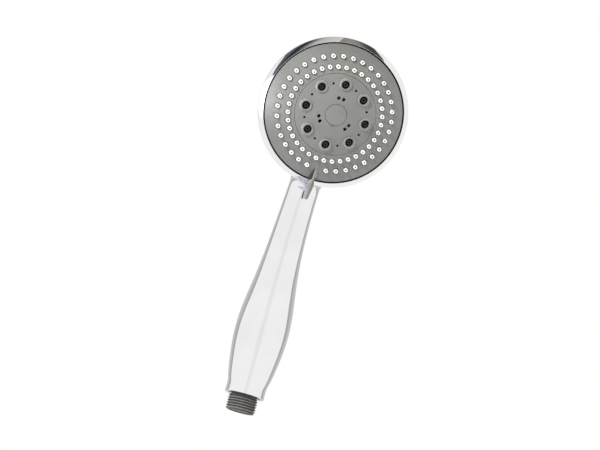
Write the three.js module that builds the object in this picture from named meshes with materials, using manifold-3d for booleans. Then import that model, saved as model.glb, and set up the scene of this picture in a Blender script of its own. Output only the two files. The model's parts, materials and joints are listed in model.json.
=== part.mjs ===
// Handheld shower head with a turning spray selector. Millimetres, +Z up.
// Origin: centre of the inlet's end face. +Z runs up the G1/2 thread towards the head, and the spray
// face looks towards -Y and a little down. X = 0 is the plane of symmetry.
import * as THREE from 'three';
import { mergeVertices } from 'three/addons/utils/BufferGeometryUtils.js';
import Module from 'manifold-3d';

const wasm = await Module();
wasm.setup();

const { PI, sqrt, sin, cos, max, min, hypot } = Math;

// ---------- driving dimensions ----------
const GAP = 0.3; // between pieces that rest on each other
const EPS = 1; // how far a cutter runs past the face it opens

// Head: its own frame has +Z out of the spray face, +Y up the face, and z = 0 at the face's edge.
const FACE_TILT = 22; // degrees between the spray face and the handle
const HEAD_Y = -51;
const HEAD_Z = 209.7;
const FACE_R = 47.9; // grey spray disc
const DOME_R = 105; // the disc is a cap of this sphere
const MOUTH_R = 48.8; // opening of the chrome rim
const RIM_R = 52.3; // widest circle of the head
const RIM_Z = -2.9; // height of that circle
const RIM_TOP = 0.4;
const RIM_BEVEL = [[49.1, 0.4], [51.5, -1.5], [52.1, -2.1]]; // the rim's flat bevel, then its rounded edge
const BACK_DEPTH = 31; // from the widest circle to the back of the head
const BACK_POWER = 2.4; // the back is a superellipse of this power
const WALL = 2.4;

// Handle: stations of half width against height, and how the neck bends towards the face.
const SHELL_Z = 11.5; // lower end of the chrome shell
const GRIP = [
  [13.5, 11.5], [14.2, 12.8], [14.3, 15.5], [14.0, 18.5], [15.0, 24], [16.9, 34.5], [18.2, 45.5],
  [18.95, 58.5], [18.4, 70], [17.0, 82], [15.2, 95], [13.6, 111], [12.5, 129], [11.7, 148],
  [11.0, 166], [10.9, 182], [9.0, 193], [5.0, 197],
];
const GRIP_OUTLINE = new THREE.SplineCurve(GRIP.map(([r, z]) => new THREE.Vector2(r, z))).getPoints(300);
const NECK_BEND_Z = 95; // the axis is straight below this height
const NECK_BEND_LENGTH = 66;
const NECK_BEND = 10; // how far the axis has come forward after that length
const GRIP_DEPTH = 0.92; // front-to-back size over width, at the bulge
const GRIP_ROUND_Z = 20; // round below this height
const GRIP_FLAT_Z = 58; // flattened to GRIP_DEPTH above this one

// G1/2 pipe thread
const THREAD_MAJOR_R = 20.955 / 2;
const THREAD_MINOR_R = 18.631 / 2;
const THREAD_PITCH = 1.814;
const THREAD_LENGTH = 10.6;
const INLET_R = 7.4; // counterbore for the screen and the flow regulator
const INLET_DEPTH = 8.5;
const TUBE_R = 6.5;
const TUBE_BORE_R = 4.8; // at the inlet, then narrower up the handle
const HANDLE_BORE_R = 3.6;
const FLANGE_R = 11.2;
const FLANGE_GROOVE_R = 9.3; // floor of the groove for the inlet O-ring
const FLANGE_TOP = 19.5;
const SHELL_BORE_R = 11.6;
const SHELL_FLOOR = 21;

// Water path at the head, in the head's frame
const SOCKET_Z = -20.5; // axis of the socket, which runs along the head's Y
const SOCKET_R = 6.5;
const SOCKET_BORE_R = 5.3;
const SOCKET_MOUTH_Y = -29.5;
const SOCKET_END_Y = -13.5;
const SPIGOT_R = 5;
const SPIGOT_BORE_R = 3.3;
const SPIGOT_START_Y = -34;
const SPIGOT_END_Y = -23.5;
const PORT_R = 20; // circle of the water ports
const PORT_HOLE_R = 2;
const PORT_ANGLE = 270; // the port under the seal at rest
const CLICK = 30; // degrees between spray settings
const CLICKS = [-2, -1, 0, 1, 2];
const CHAMBER_R = [13, 23.5, 40.3, 32.6, 23.5]; // where each setting's water enters the chambers
const INLET_HOLE_R = 1.6;
const TRAVEL = 60; // the selector turns this far each way

// Soft nozzles and jets
const OUTER_RING = { radius: 39.8, count: 36, start: 0, skip: 270 };
const INNER_RING = { radius: 32.6, count: 36, start: 5, skip: null };
const NOZZLE_R = 1.65;
const NOZZLE_BORE_R = 0.5;
const NOZZLE_RISE = 2.5;
const NOZZLE_HOLE_R = 2.05;
const NOZZLE_SIDES = 5;
const PLATE = 2.4; // thickness of the grey plates
const MEMBRANE = 1.1;
const JETS = 8;
const JET_CIRCLE_R = 21.45;
const JET_HOLE_R = 2.75;
const COLLAR_R = 4.1;
const COLLAR_RISE = 1.8;
const FINE_HOLE_R = 0.85;
const PAIR_HOLE_R = 1.25;
const PAIR_CIRCLE_R = 11.7;
const PAIR_SPACING = 3.6;
const CENTER_R = 28.05; // edge of the middle plate
const CAP_R = 7.3;
const CAP_THICKNESS = 1.6;
const NOTCH_R = 0.7; // where the cap is pried off
const NOTCH_AT = [0, -CAP_R - 0.4];

// Stack heights inside the head
const BASE_TOP = -9.5;
const BASE_BOTTOM = -11.5;
const BASE_R = 45.2;
const DIVERTER_BOTTOM = -8.2;
const DIVERTER_TOP = -5.9;
const DIVERTER_R = 44;
const FLOOR_BOTTOM = -5.6; // floor of the channel plate
const FLOOR_TOP = -4;
const CHANNEL_R = 45.2;
const POST_R = 4.6;
const POST_TOP = 3.6;
const HUB_BORE_R = 4.9;
const HUB_R = 8;
const HUB_TOP = 3.3;
const TURBINE_WALL_R = 17.4;
const SCREW_CIRCLE_R = 38;
const SCREW_ANGLES = [45, 135, 225, 315];
const BOSS_R = 3.2; // the shell's bosses under the base screws, and their pilot holes
const PILOT_R = 1.6;
const PILOT_BOTTOM = -21.2;
const STOP_ANGLE = 90;
const STOP_R = 1.2;
const DETENT_CIRCLE_R = 30;
const DETENT_ANGLE = 90;
const DETENT_PIN_R = 2.4;

// ---------- solids ----------

/** Position-only geometry with shared vertices, no flat triangles, and its faces pointing out. */
function closed(geometry) {
  const plain = geometry.clone();
  plain.deleteAttribute('normal');
  plain.deleteAttribute('uv');
  const merged = mergeVertices(plain, 1e-4);
  const index = merged.index.array;
  const position = merged.attributes.position;
  const [a, b, c] = [new THREE.Vector3(), new THREE.Vector3(), new THREE.Vector3()];
  const triangles = [];
  let volume = 0;
  for (let i = 0; i < index.length; i += 3) {
    const [p, q, r] = [index[i], index[i + 1], index[i + 2]];
    if (p === q || q === r || r === p) continue;
    triangles.push([p, q, r]);
    a.fromBufferAttribute(position, p);
    b.fromBufferAttribute(position, q);
    c.fromBufferAttribute(position, r);
    volume += a.dot(b.cross(c));
  }
  const outward = volume > 0 ? triangles : triangles.map(([p, q, r]) => [p, r, q]);
  merged.setIndex(outward.flat());
  return merged;
}

function toManifold(geometry) {
  const body = closed(geometry);
  const mesh = new wasm.Mesh({
    numProp: 3,
    vertProperties: new Float32Array(body.attributes.position.array),
    triVerts: new Uint32Array(body.index.array),
  });
  mesh.merge();
  return new wasm.Manifold(mesh);
}

function toGeometry(manifold) {
  const mesh = manifold.getMesh();
  const geometry = new THREE.BufferGeometry();
  geometry.setAttribute('position', new THREE.BufferAttribute(new Float32Array(mesh.vertProperties), 3));
  geometry.setIndex(new THREE.BufferAttribute(new Uint32Array(mesh.triVerts), 1));
  return geometry;
}

/** Everything in `add` joined, less everything in `remove`, plus `keep` put in last. */
function carve(add, remove = [], keep = []) {
  let body = toManifold(add[0]);
  for (const extra of add.slice(1)) body = body.add(toManifold(extra));
  for (const tool of remove) body = body.subtract(toManifold(tool));
  for (const extra of keep) body = body.add(toManifold(extra));
  return toGeometry(body);
}

/** Solid of revolution about Z from [radius, height] points. */
function turned(points, segments = 24) {
  const outline = points.map(([r, z]) => new THREE.Vector2(r, z));
  return new THREE.LatheGeometry(outline, segments).rotateX(PI / 2);
}

/** Ring of square section about Z. */
function ring(inner, outer, z0, z1, segments = 24) {
  return turned([[inner, z0], [outer, z0], [outer, z1], [inner, z1], [inner, z0]], segments);
}

/** Upright cylinder or cone. */
function rod(radius, z0, z1, [x, y] = [0, 0], sides = 12, topRadius = radius) {
  const shape = new THREE.CylinderGeometry(topRadius, radius, z1 - z0, sides);
  return shape.rotateX(PI / 2).translate(x, y, (z0 + z1) / 2);
}

function block(width, depth, height, x, y, z) {
  return new THREE.BoxGeometry(width, depth, height).translate(x, y, z);
}

function oRing(radius, section, z, segments = 18) {
  return new THREE.TorusGeometry(radius, section, 6, segments).translate(0, 0, z);
}

function polar(radius, degrees) {
  const angle = THREE.MathUtils.degToRad(degrees);
  return [radius * cos(angle), radius * sin(angle)];
}

/** Upright prism with a round outline of few sides. */
function prism(radius, z0, z1, [x, y], sides) {
  const corners = around(sides, 0, (angle) => new THREE.Vector2(...polar(radius, angle)));
  const outline = new THREE.Shape(corners);
  return new THREE.ExtrudeGeometry(outline, { depth: z1 - z0, bevelEnabled: false }).translate(x, y, z0);
}

/** The same cutter or lug repeated round the axis. */
function around(count, start, make) {
  return Array.from({ length: count }, (_, i) => make(start + (i * 360) / count));
}

/** Compression spring of round wire, its ends a little short of z0 and z1. */
function spring(radius, wire, turns, z0, z1, stepsPerTurn = 8) {
  const rise = z1 - z0 - 2 * wire;
  const points = Array.from({ length: turns * stepsPerTurn + 1 }, (_, i) => {
    const angle = (2 * PI * i) / stepsPerTurn;
    const z = z0 + wire + (rise * i) / (turns * stepsPerTurn);
    return new THREE.Vector3(radius * cos(angle), radius * sin(angle), z);
  });
  const section = new THREE.Shape(new THREE.EllipseCurve(0, 0, wire, wire, 0, 2 * PI).getPoints(5));
  const extrudePath = new THREE.CatmullRomCurve3(points);
  return new THREE.ExtrudeGeometry(section, { steps: turns * stepsPerTurn, extrudePath });
}

// ---------- head surfaces ----------

/** Height of the spray face's dome at a distance from the head's axis. */
function dome(radius) {
  return sqrt(DOME_R ** 2 - radius ** 2) - sqrt(DOME_R ** 2 - FACE_R ** 2);
}

/** Points along the dome, `drop` under its surface, from one radius to another. */
function domeArc(r0, r1, steps, drop = 0) {
  return Array.from({ length: steps + 1 }, (_, i) => {
    const radius = r0 + ((r1 - r0) * i) / steps;
    return [radius, dome(radius) - drop];
  });
}

/** Superellipse of the head's back from its widest circle to the axis. */
function backArc(radius, depth, steps) {
  return Array.from({ length: steps + 1 }, (_, i) => {
    const angle = (PI / 2) * (i / steps);
    const r = radius * cos(angle) ** (2 / BACK_POWER);
    return [i === steps ? 0 : r, RIM_Z - depth * sin(angle) ** (2 / BACK_POWER)];
  });
}

/** Height of the shell's inner wall behind the head at a distance from the axis. */
function insideHeight(radius) {
  const share = 1 - (radius / MOUTH_R) ** BACK_POWER;
  return RIM_Z - (BACK_DEPTH - WALL) * share ** (1 / BACK_POWER);
}

// ---------- handle surfaces ----------

function neckOffset(z) {
  return -NECK_BEND * (max(0, z - NECK_BEND_Z) / NECK_BEND_LENGTH) ** 2;
}

function depthRatio(z) {
  const t = min(1, max(0, (z - GRIP_ROUND_Z) / (GRIP_FLAT_Z - GRIP_ROUND_Z)));
  return 1 - (1 - GRIP_DEPTH) * t * t * (3 - 2 * t);
}

/** Half width of the grip at a height, on the spline through its stations. */
function gripRadius(z) {
  const after = GRIP_OUTLINE.findIndex((point) => point.y >= z);
  if (after <= 0) return GRIP_OUTLINE[0].x;
  const [low, high] = [GRIP_OUTLINE[after - 1], GRIP_OUTLINE[after]];
  return THREE.MathUtils.mapLinear(z, low.y, high.y, low.x, high.x);
}

/** The grip as a turned solid through the given heights, flattened and bent along the neck. */
function grip(inset, heights, segments) {
  const profile = heights.map((z) => [gripRadius(z) - inset, z]);
  const solid = turned([[0, heights[0]], ...profile, [0, heights[heights.length - 1]]], segments);
  const position = solid.attributes.position;
  for (let i = 0; i < position.count; i++) {
    const z = position.getZ(i);
    position.setY(i, position.getY(i) * depthRatio(z) + neckOffset(z));
  }
  return solid;
}

// ---------- fixed pieces ----------

const head = new THREE.Group();
head.position.set(0, HEAD_Y, HEAD_Z);
head.rotation.x = THREE.MathUtils.degToRad(90 + FACE_TILT);
head.updateMatrix();

/** A geometry made in the head's frame, moved to the object's frame. */
const inObject = (geometry) => geometry.applyMatrix4(head.matrix);

function bodyShell() {
  const back = turned([[0, RIM_TOP], ...RIM_BEVEL, ...backArc(RIM_R, BACK_DEPTH, 6)], 36);
  const hollow = turned(
    [[0, RIM_TOP + EPS], [MOUTH_R, RIM_TOP + EPS], ...backArc(MOUTH_R, BACK_DEPTH - WALL, 6)], 30);
  const bosses = SCREW_ANGLES.map((angle) => {
    const bottom = insideHeight(SCREW_CIRCLE_R) - WALL / 2;
    return rod(BOSS_R, bottom, BASE_BOTTOM - GAP, polar(SCREW_CIRCLE_R, angle), 6);
  });
  const pilots = SCREW_ANGLES.map((angle) => {
    return rod(PILOT_R, PILOT_BOTTOM, BASE_BOTTOM + EPS, polar(SCREW_CIRCLE_R, angle), 6);
  });
  const stations = GRIP.map(([, z]) => z);
  const between = stations.slice(4, -2).map((z, i) => (z + stations[i + 5]) / 2);
  const heights = [...stations, ...between].sort((a, b) => a - b);
  const hollowHeights = [SHELL_FLOOR - 2, ...stations.filter((z) => z > SHELL_FLOOR && z < 190), 192];
  const outside = [grip(0, heights, 20), inObject(back)];
  const inside = [
    inObject(hollow),
    grip(WALL, hollowHeights, 14),
    rod(SHELL_BORE_R, SHELL_Z - EPS, SHELL_FLOOR, [0, 0], 20),
  ];
  const bossed = carve(outside, inside, bosses.map(inObject));
  return carve([bossed], pilots.map(inObject));
}

/** Threaded end: a fine cylinder whose surface follows the helix of the thread. */
function threadedEnd() {
  const rows = 29;
  const solid = new THREE.CylinderGeometry(1, 1, THREAD_LENGTH, 16, rows).rotateX(PI / 2);
  solid.translate(0, 0, THREAD_LENGTH / 2);
  const position = solid.attributes.position;
  for (let i = 0; i < position.count; i++) {
    const [x, y, z] = [position.getX(i), position.getY(i), position.getZ(i)];
    const length = hypot(x, y);
    if (length < 0.5) continue;
    const turn = z / THREAD_PITCH - Math.atan2(y, x) / (2 * PI);
    const wave = Math.abs((turn - Math.floor(turn)) * 2 - 1);
    const crest = min(1, max(0, 1.25 * wave - 0.125));
    const fade = min(1, max(0, (z - 0.2) / 1.2), max(0, (THREAD_LENGTH - z) / 0.8));
    const radius = THREAD_MINOR_R + (THREAD_MAJOR_R - THREAD_MINOR_R) * crest * fade;
    position.setXYZ(i, (x / length) * radius, (y / length) * radius, z);
  }
  return solid;
}

/** Route of the waterway: up the handle's axis, then along the head's socket. */
function waterwayRoute() {
  const up = [FLANGE_TOP - 1, 60, 95, 115, 135, 150, 160];
  const inHandle = up.map((z) => new THREE.Vector3(0, neckOffset(z), z));
  const inHead = [-45, SPIGOT_START_Y].map((y) => {
    return new THREE.Vector3(0, y, SOCKET_Z).applyMatrix4(head.matrix);
  });
  return new THREE.CatmullRomCurve3([...inHandle, ...inHead]);
}

function pipe(route, radius, sides, steps) {
  const section = new THREE.Shape(new THREE.EllipseCurve(0, 0, radius, radius, 0, 2 * PI).getPoints(sides));
  return new THREE.ExtrudeGeometry(section, { steps, extrudePath: route });
}

/** A cylinder along the head's Y axis on the socket's line. */
function alongSocket(radius, y0, y1, sides = 16) {
  const shape = new THREE.CylinderGeometry(radius, radius, y1 - y0, sides);
  return shape.translate(0, (y0 + y1) / 2, SOCKET_Z);
}

const SPIGOT_GROOVE_Y = (SOCKET_MOUTH_Y + SPIGOT_END_Y) / 2;

function waterwayTube() {
  const route = waterwayRoute();
  const add = [
    threadedEnd(),
    rod(THREAD_MINOR_R - 0.1, THREAD_LENGTH - 1, SHELL_Z + 1, [0, 0], 16),
    rod(FLANGE_R, SHELL_Z + GAP, FLANGE_TOP, [0, 0], 20),
    pipe(route, TUBE_R, 10, 14),
    inObject(alongSocket(SPIGOT_R, SPIGOT_START_Y - 2, SPIGOT_END_Y, 12)),
  ];
  const remove = [
    rod(INLET_R, -EPS, INLET_DEPTH, [0, 0], 16),
    rod(TUBE_BORE_R, INLET_DEPTH - 1, FLANGE_TOP, [0, 0], 10),
    pipe(route, HANDLE_BORE_R, 8, 14),
    inObject(alongSocket(SPIGOT_BORE_R, SPIGOT_START_Y - 3, SPIGOT_END_Y + EPS, 8)),
    ring(FLANGE_GROOVE_R, FLANGE_R + EPS, 14.2, 16.4, 20),
    inObject(spigotGroove()),
  ];
  return carve(add, remove);
}

function spigotGroove() {
  const groove = ring(4.1, SPIGOT_R + EPS, -0.9, 0.9, 12);
  return groove.rotateX(PI / 2).translate(0, SPIGOT_GROOVE_Y, SOCKET_Z);
}

function spigotOring() {
  return oRing(4.7, 0.5, 0, 14).rotateX(PI / 2).translate(0, SPIGOT_GROOVE_Y, SOCKET_Z);
}

function inletFilter() {
  const [pitch, opening] = [3.6, 2.6];
  const lines = [-pitch, 0, pitch];
  const mesh = lines.flatMap((y) => lines.map((x) => block(opening, opening, 3, x, y, 1.2)));
  return carve([rod(INLET_R - GAP, 0.5, 1.7, [0, 0], 16)], mesh);
}

function flowRegulator() {
  const body = turned([
    [0, 2.2], [2.6, 2.2], [2.6, 3.6], [5.9, 3.6],
    [5.9, 2.2], [7.1, 2.2], [7.1, 7.6], [0, 7.6],
  ], 16);
  const slots = around(6, 0, (angle) => rod(0.7, 1, 9, polar(3.5, angle), 5));
  return carve([body], slots);
}

function distributionBase() {
  const port = polar(PORT_R, PORT_ANGLE);
  const detent = polar(DETENT_CIRCLE_R, DETENT_ANGLE);
  const screws = SCREW_ANGLES.map((angle) => polar(SCREW_CIRCLE_R, angle));
  const add = [
    rod(BASE_R, BASE_BOTTOM, BASE_TOP, [0, 0], 32),
    rod(POST_R, BASE_BOTTOM, POST_TOP, [0, 0], 16),
    alongSocket(SOCKET_R, SOCKET_MOUTH_Y, SOCKET_END_Y),
    rod(6.2, SOCKET_Z + 1, BASE_BOTTOM + 0.5, port, 12),
    block(3, 14, 6, 0, -22, (BASE_BOTTOM + SOCKET_Z) / 2 + 2.2),
    rod(4.2, -21, BASE_BOTTOM + 0.5, detent, 10),
    rod(STOP_R, BASE_TOP - 0.5, DIVERTER_TOP - GAP, polar(SCREW_CIRCLE_R, STOP_ANGLE), 10),
    ring(8, 9.6, BASE_BOTTOM - 3, BASE_BOTTOM + 0.5, 20),
  ];
  const remove = [
    alongSocket(SOCKET_BORE_R, SOCKET_MOUTH_Y - EPS, SOCKET_END_Y - 1.6),
    rod(4.9, -13.4, BASE_TOP + EPS, port, 12),
    rod(2.6, SOCKET_Z, -12, port, 8),
    rod(DETENT_PIN_R + GAP, -19.6, BASE_TOP + EPS, detent, 10),
    rod(2.3, -6, POST_TOP + EPS, [0, 0], 12),
    ring(3.35, POST_R + EPS, -7.9, -6.3, 16),
    ...screws.map((at) => rod(PILOT_R, -14, BASE_TOP, at, 6)),
    ...screws.map((at) => rod(3, BASE_TOP - 1.1, BASE_TOP + EPS, at, 8)),
  ];
  return carve(add, remove);
}

function baseScrew(angle) {
  const [x, y] = polar(SCREW_CIRCLE_R, angle);
  const body = turned([
    [0, -20.4], [0.6, -20.4], [1.3, -19.2], [1.3, -10.3], [2.7, -10.3], [2.7, -8.9], [0, -8.9],
  ], 8);
  const recess = [block(2.8, 0.6, 1, 0, 0, -8.8), block(0.6, 2.8, 1, 0, 0, -8.8)];
  return carve([body], recess).translate(x, y, 0);
}

function portSeal() {
  const [x, y] = polar(PORT_R, PORT_ANGLE);
  const lip = DIVERTER_BOTTOM - GAP;
  const outline = [[2.2, lip], [4.6, lip], [4.6, -12.4], [3.9, -12.4], [3.9, -9.9], [2.2, -9.9], [2.2, lip]];
  return turned(outline, 14).translate(x, y, 0);
}

function detentPin() {
  const [x, y] = polar(DETENT_CIRCLE_R, DETENT_ANGLE);
  const tip = DIVERTER_BOTTOM + 0.8;
  const outline = [[0, -12.6], [DETENT_PIN_R, -12.6], [DETENT_PIN_R, -9.2], [1.7, -8.1], [0.8, tip], [0, tip]];
  return turned(outline, 10).translate(x, y, 0);
}

// ---------- turning pieces ----------

const nozzleAngles = ({ count, start, skip }) => {
  return around(count, start, (angle) => angle).filter((angle) => angle !== skip);
};

/** One entry for each soft nozzle: its place on the face and the dome's height there. */
const NOZZLES = [OUTER_RING, INNER_RING].flatMap((row) => {
  return nozzleAngles(row).map((angle) => ({ at: polar(row.radius, angle), height: dome(row.radius) }));
});

function facePlate() {
  const inner = CENTER_R + GAP;
  const outline = [
    ...domeArc(inner, FACE_R, 3), [FACE_R, FLOOR_BOTTOM + 0.6], [FACE_R - 2.1, FLOOR_BOTTOM + 0.6],
    ...domeArc(FACE_R - 2.1, inner, 2, PLATE), [inner, dome(inner)],
  ];
  const holes = NOZZLES.map(({ at, height }) => rod(NOZZLE_HOLE_R, height - 6, height + 3, at, NOZZLE_SIDES));
  return carve([turned(outline, 36)], [...holes, leverFoot(0.2)]);
}

function nozzleMembrane() {
  const drop = PLATE + GAP;
  const outline = [
    ...domeArc(30.2, 45.2, 2, drop), ...domeArc(45.2, 30.2, 2, drop + MEMBRANE), [30.2, dome(30.2) - drop],
  ];
  const nubs = NOZZLES.map(({ at, height }) => {
    return prism(NOZZLE_R, height - drop - MEMBRANE / 2, height + NOZZLE_RISE, at, NOZZLE_SIDES);
  });
  const bores = NOZZLES.map(({ at, height }) => prism(NOZZLE_BORE_R, height - 6, height + 3, at, 3));
  const footSlot = block(5, 10, 12, 0, -42.5, 0);
  return carve([turned(outline, 36), ...nubs], [...bores, footSlot]);
}

function centerPlate() {
  const [flangeR, flangeLow, flangeHigh] = [29.8, 3.1, 4.4];
  const wallR = CENTER_R - 1.6;
  const floor = dome(0) - CAP_THICKNESS - GAP;
  const outline = [
    [5, floor], [CAP_R + GAP, floor], ...domeArc(CAP_R + GAP, CENTER_R, 3),
    [CENTER_R, flangeHigh], [flangeR, flangeHigh], [flangeR, flangeLow], [wallR, flangeLow],
    ...domeArc(wallR, HUB_R, 3, PLATE), [5, dome(HUB_R) - PLATE], [5, floor],
  ];
  const places = around(JETS, 0, (angle) => polar(JET_CIRCLE_R, angle));
  const surface = dome(JET_CIRCLE_R);
  const collars = places.map((at) => prism(COLLAR_R, surface - 1.5, surface + COLLAR_RISE, at, 8));
  const jets = places.map((at) => prism(JET_HOLE_R, 3, 14, at, 8));
  const fine = around(JETS, 22.5, (angle) => rod(FINE_HOLE_R, 3, 14, polar(JET_CIRCLE_R, angle), 4));
  const pairs = around(3, 90, (angle) => angle).flatMap((angle) => {
    const half = THREE.MathUtils.radToDeg(Math.atan(PAIR_SPACING / 2 / PAIR_CIRCLE_R));
    return [-half, half].map((side) => rod(PAIR_HOLE_R, 3, 14, polar(PAIR_CIRCLE_R, angle + side), 5));
  });
  const notch = rod(NOTCH_R, floor - 0.1, 14, NOTCH_AT, 6);
  return carve([turned(outline, 28), ...collars], [...jets, ...fine, ...pairs, notch]);
}

function jetInsert() {
  const [low, high] = [3.2, 4.2];
  const places = around(JETS, 0, (angle) => polar(JET_CIRCLE_R, angle));
  const spigots = places.map((at) => prism(1.7, low, dome(JET_CIRCLE_R) - 0.6, at, 6));
  const bores = places.map((at) => prism(0.65, low - EPS, 14, at, 3));
  return carve([ring(18.7, 24.6, low, high, 24), ...spigots], bores);
}

function channelPlate() {
  const wall = (inner, outer, top) => ring(inner, outer, FLOOR_TOP - 0.5, top, 24);
  const add = [
    ring(HUB_BORE_R, CHANNEL_R, FLOOR_BOTTOM, FLOOR_TOP, 24),
    wall(HUB_BORE_R, HUB_R, HUB_TOP),
    wall(TURBINE_WALL_R, 18.4, 6.2),
    wall(28.4, 29.4, 2.8),
    wall(35.6, 36.8, 0.8),
    wall(43.9, CHANNEL_R, -2.9),
  ];
  const inlets = CLICKS.map((click, i) => {
    const at = polar(CHAMBER_R[i], PORT_ANGLE + click * CLICK);
    return rod(INLET_HOLE_R, FLOOR_BOTTOM - EPS, FLOOR_TOP + EPS, at, 6);
  });
  const leverSlot = block(5, 9, 12, 0, -42.5, 3);
  return carve(add, [...inlets, leverSlot]);
}

function diverterPlate() {
  const plate = ring(HUB_BORE_R, DIVERTER_R, DIVERTER_BOTTOM, DIVERTER_TOP, 24);
  const passages = CLICKS.flatMap((click, i) => {
    const angle = PORT_ANGLE + click * CLICK;
    const length = Math.abs(CHAMBER_R[i] - PORT_R) + 3;
    const groove = block(length, 3, 2, (CHAMBER_R[i] + PORT_R) / 2, 0, DIVERTER_TOP);
    groove.rotateZ(THREE.MathUtils.degToRad(angle));
    const port = polar(PORT_R, angle);
    return [groove, rod(PORT_HOLE_R, DIVERTER_BOTTOM - EPS, DIVERTER_TOP + EPS, port, 6)];
  });
  const under = DIVERTER_BOTTOM - EPS;
  const track = ring(DETENT_CIRCLE_R - 2, DETENT_CIRCLE_R + 2, under, DIVERTER_BOTTOM + 1.2, 24);
  const reach = THREE.MathUtils.degToRad(TRAVEL + 3.5);
  const middle = THREE.MathUtils.degToRad(STOP_ANGLE);
  const slot = new THREE.Shape();
  slot.absarc(0, 0, SCREW_CIRCLE_R + 1.6, middle - reach, middle + reach, false);
  slot.absarc(0, 0, SCREW_CIRCLE_R - 1.6, middle + reach, middle - reach, true);
  const stopSlot = new THREE.ExtrudeGeometry(slot, { depth: 5, bevelEnabled: false, curveSegments: 8 });
  stopSlot.translate(0, 0, under);
  return carve([plate], [...passages, track, stopSlot]);
}

function swirlRing() {
  const body = ring(HUB_R + 0.4, TURBINE_WALL_R - 0.3, -3.6, -1.2, 24);
  const slots = around(4, 0, (angle) => {
    const slot = block(4.5, 1.4, 8, 0, 0, 0).rotateY(PI / 5);
    return slot.translate(0, 12.8, -2.4).rotateZ(THREE.MathUtils.degToRad(angle));
  });
  return carve([body], slots);
}

/** Massage rotor: a bladed ring with a shutter over half of its top. */
function massageTurbine() {
  const [low, high] = [-0.6, 5.4];
  const blades = around(8, 0, (angle) => {
    const blade = block(6, 1, high - low - 0.6, 13, 0, (low + high) / 2 - 0.3);
    return blade.rotateZ(THREE.MathUtils.degToRad(angle));
  });
  const shutter = new THREE.Shape();
  shutter.absarc(0, 0, 16.2, 0, PI, false);
  shutter.absarc(0, 0, HUB_R + 1, PI, 0, true);
  const cover = new THREE.ExtrudeGeometry(shutter, { depth: 1.1, bevelEnabled: false, curveSegments: 10 });
  cover.translate(0, 0, high - 1.1);
  return carve([ring(HUB_R + 0.5, HUB_R + 2.2, low, high, 20), ...blades, cover]);
}

/** Foot of the lever, which stands in a slot of the spray disc; `play` widens it into the slot. */
function leverFoot(play = 0) {
  return block(1.5 + 2 * play, 5 + 2 * play, 7, 0, -42.7, 1);
}

const CREST = 0.25; // width of the lever's crest over its full width

/** Fin that rises out of the disc, passes over the rim and ends in a finger tip. */
function selectorLever() {
  const stations = [
    // distance from the axis, half width, top height, underside height
    [38.2, 0.45, dome(38.2) + 0.45, dome(38.2) + 0.3],
    [41, 0.8, 4.9, dome(41) + 0.3],
    [45, 1.15, 5.2, dome(45) + 0.35],
    [48.5, 1.6, 5.3, 1.2],
    [51, 2.35, 5.2, 1.1],
    [54, 2.4, 4.9, 0.4],
    [58, 2.1, 4.2, -0.4],
    [62, 1.75, 3.2, -0.7],
    [62.7, 1.3, 2.6, -0.2],
  ];
  const rows = stations.map(([r, half, top, under]) => {
    const shoulder = under + (top - under) * 0.55;
    const section = [
      [-half, under], [half, under], [half, shoulder],
      [half * CREST, top], [-half * CREST, top], [-half, shoulder],
    ];
    return section.map(([x, z]) => [x, -r, z]);
  });
  return carve([loft(rows), leverFoot()]);
}

/** Solid through equal-length closed sections, with flat ends. */
function loft(rows) {
  const size = rows[0].length;
  const triangles = [];
  for (let i = 0; i + 1 < rows.length; i++) {
    for (let j = 0; j < size; j++) {
      const [a, b] = [i * size + j, i * size + ((j + 1) % size)];
      triangles.push(a, b, b + size, a, b + size, a + size);
    }
  }
  const last = (rows.length - 1) * size;
  for (let j = 1; j + 1 < size; j++) {
    triangles.push(0, j + 1, j, last, last + j, last + j + 1);
  }
  const geometry = new THREE.BufferGeometry();
  geometry.setAttribute('position', new THREE.Float32BufferAttribute(rows.flat(2), 3));
  geometry.setIndex(triangles);
  return geometry;
}

function centerCap() {
  const floor = dome(0) - CAP_THICKNESS;
  const disc = turned([[0, floor], [CAP_R, floor], ...domeArc(CAP_R, 0, 1)], 24);
  return carve([disc], [rod(NOTCH_R, floor - EPS, 14, NOTCH_AT, 6)]);
}

function centerScrew() {
  const seat = POST_TOP + 2 * GAP + 1;
  const outline = [
    [0, -5], [1.2, -5], [2, -3.8], [2, seat],
    [4.2, seat], [4.2, seat + 1.6], [3.2, seat + 2.4], [0, seat + 2.4],
  ];
  const recess = [block(4.2, 0.9, 2.4, 0, 0, seat + 2), block(0.9, 4.2, 2.4, 0, 0, seat + 2)];
  return carve([turned(outline, 14)], recess);
}

const screwWasher = () => ring(2.3, 7.2, POST_TOP + GAP, POST_TOP + GAP + 1, 18);

// ---------- assembly ----------

const GREY = 0x868a86;
const DARK_GREY = 0x5d5e5b;
const CHROME = 0xe6e6ea;
const BLACK = 0x17181a;
const STEEL = 0xb4b6b8;
const SILICONE = 0xe9e9e4;

function part(name, geometry, color, roughness = 0.5, metalness = 0) {
  const material = new THREE.MeshStandardMaterial({ color, roughness, metalness });
  const mesh = new THREE.Mesh(closed(geometry), material);
  mesh.name = name;
  return mesh;
}

const shower = new THREE.Group();
shower.add(
  part('body_shell', bodyShell(), CHROME, 0.08, 1),
  part('waterway_tube', waterwayTube(), DARK_GREY, 0.55),
  part('inlet_filter', inletFilter(), STEEL, 0.4, 0.8),
  part('flow_regulator', flowRegulator(), 0x3f7a4c, 0.5),
  part('regulator_oring', oRing(4.3, 0.7, 2.6, 14), BLACK, 0.6),
  part('inlet_oring', oRing(10.35, 0.85, 15.3), BLACK, 0.6),
  head,
);

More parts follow.
